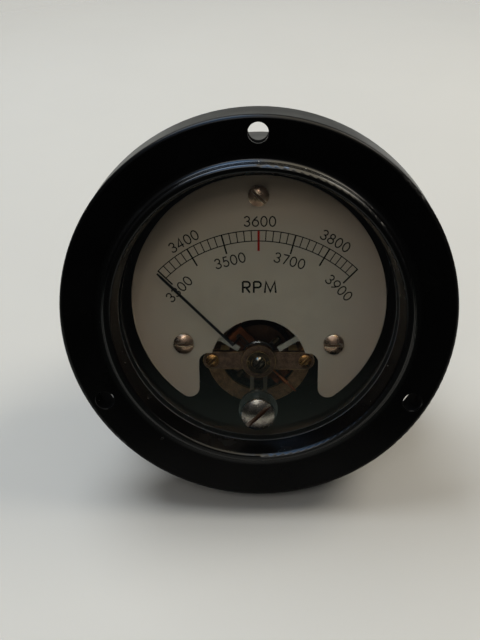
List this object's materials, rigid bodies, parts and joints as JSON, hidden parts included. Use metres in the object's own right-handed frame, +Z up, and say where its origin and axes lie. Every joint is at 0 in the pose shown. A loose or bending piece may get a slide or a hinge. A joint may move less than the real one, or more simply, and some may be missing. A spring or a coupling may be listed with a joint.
{
  "type": "tachometer",
  "caption": "Round flush-panel tachometer with a moving-coil movement, pointer and dial behind glass, a front zero screw, a moulded flange, a barrel case and rear terminal studs.",
  "frame": {"origin": "centre of the mounting plane, where the rear edge of the flange's skirt meets the panel", "axes": "+Z up, -Y towards the viewer of the dial, +Y along the barrel into the panel, +X to the right of the dial as it is read"},
  "size_m": [0.0684, 0.0435, 0.0684],
  "materials": {
    "phenolic": "worn semi-gloss",
    "phenolic_rear": "satin",
    "plated_steel": "dull plating",
    "window": "clear, polished",
    "gasket": "matte",
    "nickel": "worn nickel with rust in the slot",
    "collar": "satin",
    "lever": "satin",
    "dial_paint": "matte",
    "dial_screw": "satin, tarnished",
    "brass": "satin",
    "bright_metal": "satin",
    "yoke": "dark, oiled",
    "bronze_plate": "satin, brown",
    "magnet": "ground, brown",
    "bronze": "brown, pale edges",
    "brass_screw": "satin",
    "hairspring": "bright",
    "copper": "varnished copper wire",
    "bright_steel": "polished",
    "pointer_paint": "black paint",
    "copper_wire": "bright copper",
    "stop_metal": "satin",
    "tinned": "tinned",
    "lead_wire": "enamelled"
  },
  "bodies": {
    "case": {"front_housing": "phenolic", "rear_case": "phenolic_rear", "case_screws": "plated_steel", "window_glass": "window", "front_gasket": "gasket", "rear_gasket": "gasket", "dial_plate": "dial_paint", "dial_screws": "dial_screw", "dial_posts": "brass", "base_plate": "bright_metal", "movement_screws": "plated_steel", "yoke_ring": "yoke", "ring_plate": "bronze_plate", "core_magnet": "magnet", "core_supports": "brass", "front_bridge": "bronze", "bridge_pillars": "brass", "bridge_screws": "brass_screw", "front_jewel_screw": "brass_screw", "front_jewel_nut": "bronze", "rear_bridge": "bronze", "rear_bridge_screws": "brass_screw", "rear_jewel_screw": "brass_screw", "rear_jewel_nut": "bronze", "rear_spring_arm": "lever", "rear_hairspring": "hairspring", "pointer_stops": "stop_metal", "terminal_studs": "brass", "terminal_lugs": "tinned", "inner_nuts": "brass", "terminal_washers": "plated_steel", "terminal_lock_washers": "plated_steel", "terminal_nuts": "brass", "lead_wires": "lead_wire"},
    "zero_screw": {"zero_screw": "nickel", "zero_screw_seal": "gasket", "zero_screw_collar": "collar"},
    "zero_lever": {"zero_lever": "lever", "front_hairspring": "hairspring"},
    "pointer": {"coil_winding": "copper", "coil_former": "bright_metal", "front_staff": "bright_steel", "rear_staff": "bright_steel", "balance_arms": "bright_metal", "balance_weights": "brass", "pointer": "pointer_paint", "pointer_tail": "copper_wire", "tail_weight": "copper_wire"}
  },
  "joints": [
    {"name": "pointer_swing", "type": "hinge", "parent": "case", "child": "pointer", "pos_m": [0, 0.005, -0.0121], "axis": [0, 1, 0], "range_deg": [-4, 94], "stiffness_Nm_per_rad": 0.00002, "deforming": ["front_hairspring", "rear_hairspring"]},
    {"name": "zero_screw_turn", "type": "hinge", "parent": "case", "child": "zero_screw", "pos_m": [0, -0.006, -0.0189], "axis": [0, 1, 0], "range_deg": [-45, 45]},
    {"name": "zero_lever_swing", "type": "hinge", "parent": "case", "child": "zero_lever", "pos_m": [0, 0.0037, -0.0121], "axis": [0, 1, 0], "range_deg": [-6, 6]}
  ],
  "couplings": [
    {"joint": "zero_lever_swing", "follows": "zero_screw_turn", "ratio": -0.1148}
  ]
}
